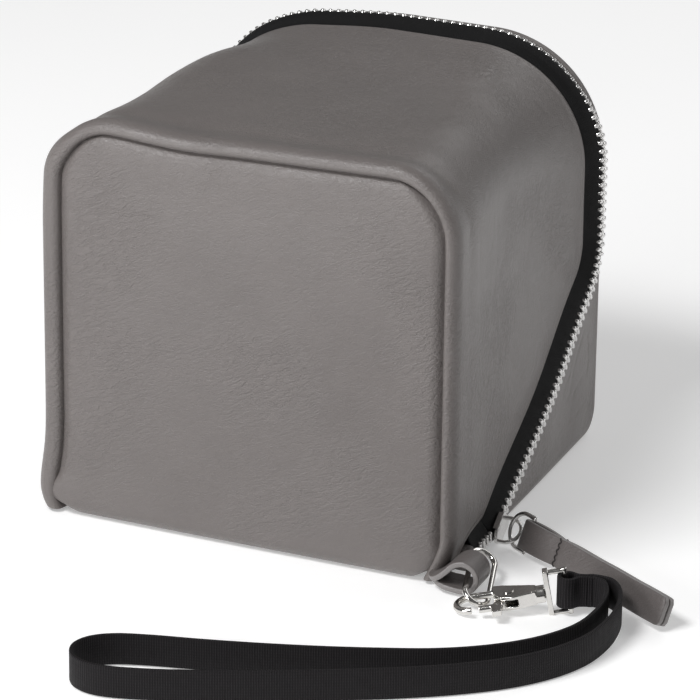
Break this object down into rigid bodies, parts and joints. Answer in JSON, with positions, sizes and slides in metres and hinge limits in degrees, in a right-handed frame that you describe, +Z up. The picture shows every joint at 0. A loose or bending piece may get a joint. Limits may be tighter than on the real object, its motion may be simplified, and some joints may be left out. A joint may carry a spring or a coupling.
{
  "type": "leather zip pouch with wrist strap",
  "caption": "Boxy soft leather zip pouch whose front opens forward on a wrap-around metal zip, with a leather pull, a loop tab and a clip-on webbing wrist strap.",
  "frame": {"origin": "on the floor, under the middle of the leather box", "axes": "+Z up, front panel towards -Y, slider, pull and strap on the +X side"},
  "size_m": [0.2076, 0.2417, 0.1378],
  "materials": {
    "leather": "smooth satin, fine grain",
    "leather_strap": "smooth satin, painted edges",
    "lining": "plain woven lining",
    "zip_tape": "herringbone woven tape",
    "webbing": "ribbed woven webbing",
    "thread": "thick sewing thread",
    "zip_metal": "bright nickel plate",
    "clasp_metal": "bright nickel plate"
  },
  "bodies": {
    "base": {"bottom_back_panel": "leather", "rear_gusset": "leather", "rear_lining": "lining", "rear_zip_tape": "zip_tape", "rear_zip_teeth": "zip_metal", "zip_end_tabs": "leather", "loop_tab": "leather_strap"},
    "lid": {"front_panel": "leather", "front_gusset": "leather", "front_lining": "lining", "front_zip_tape": "zip_tape", "front_zip_teeth": "zip_metal"},
    "slider": {"slider_body": "zip_metal", "slider_bridge": "zip_metal"},
    "ring": {"pull_ring": "zip_metal"},
    "pull": {"pull_strap": "leather_strap", "pull_tack": "thread"},
    "oval": {"oval_ring": "clasp_metal"},
    "clasp": {"clasp_body": "clasp_metal", "clasp_rivet": "clasp_metal"},
    "gate": {"clasp_gate": "clasp_metal"},
    "swivel": {"swivel_eye": "clasp_metal"},
    "strap": {"wrist_strap": "webbing", "strap_tack": "webbing"}
  },
  "joints": [
    {"name": "lid_hinge", "type": "hinge", "parent": "base", "child": "lid", "pos_m": [0, -0.0645, 0.002], "axis": [1, 0, 0], "range_deg": [0, 75]},
    {"name": "slider_run", "type": "slide", "parent": "base", "child": "slider", "axis": [0, 0.8399, 0.5427], "range_m": [0, 0.086]},
    {"name": "ring_swing", "type": "hinge", "parent": "slider", "child": "ring", "pos_m": [0.07414, -0.02942, 0.0061], "axis": [0.515, 0.8572, 0], "range_deg": [-12, 0]},
    {"name": "pull_swing", "type": "hinge", "parent": "ring", "child": "pull", "pos_m": [0.0804, -0.03318, 0.0061], "axis": [0.1963, 0.3266, 0.9245], "range_deg": [-3, 30]},
    {"name": "oval_swing", "type": "hinge", "parent": "base", "child": "oval", "pos_m": [0.0735, -0.0662, 0.0069], "axis": [-0.2506, 0.9423, 0.2218], "range_deg": [-12, 12]},
    {"name": "clasp_swing", "type": "hinge", "parent": "oval", "child": "clasp", "pos_m": [0.07901, -0.07366, 0.00289], "axis": [0, 0, 1], "range_deg": [-4, 4]},
    {"name": "gate_press", "type": "hinge", "parent": "clasp", "child": "gate", "pos_m": [0.08953, -0.07361, 0.00453], "axis": [-0.1674, -0.0676, 0.9836], "range_deg": [-22, 0], "stiffness_Nm_per_rad": 0.02, "springref_deg": 11.46},
    {"name": "swivel_turn", "type": "hinge", "parent": "clasp", "child": "swivel", "pos_m": [0.09833, -0.0707, 0.00623], "axis": [0.912, 0.3685, 0.1805], "range_deg": [-60, 20]},
    {"name": "strap_swing", "type": "hinge", "parent": "swivel", "child": "strap", "pos_m": [0.1058, -0.06768, 0.00771], "axis": [-0.1674, -0.0676, 0.9836], "range_deg": [-6, 15]}
  ]
}
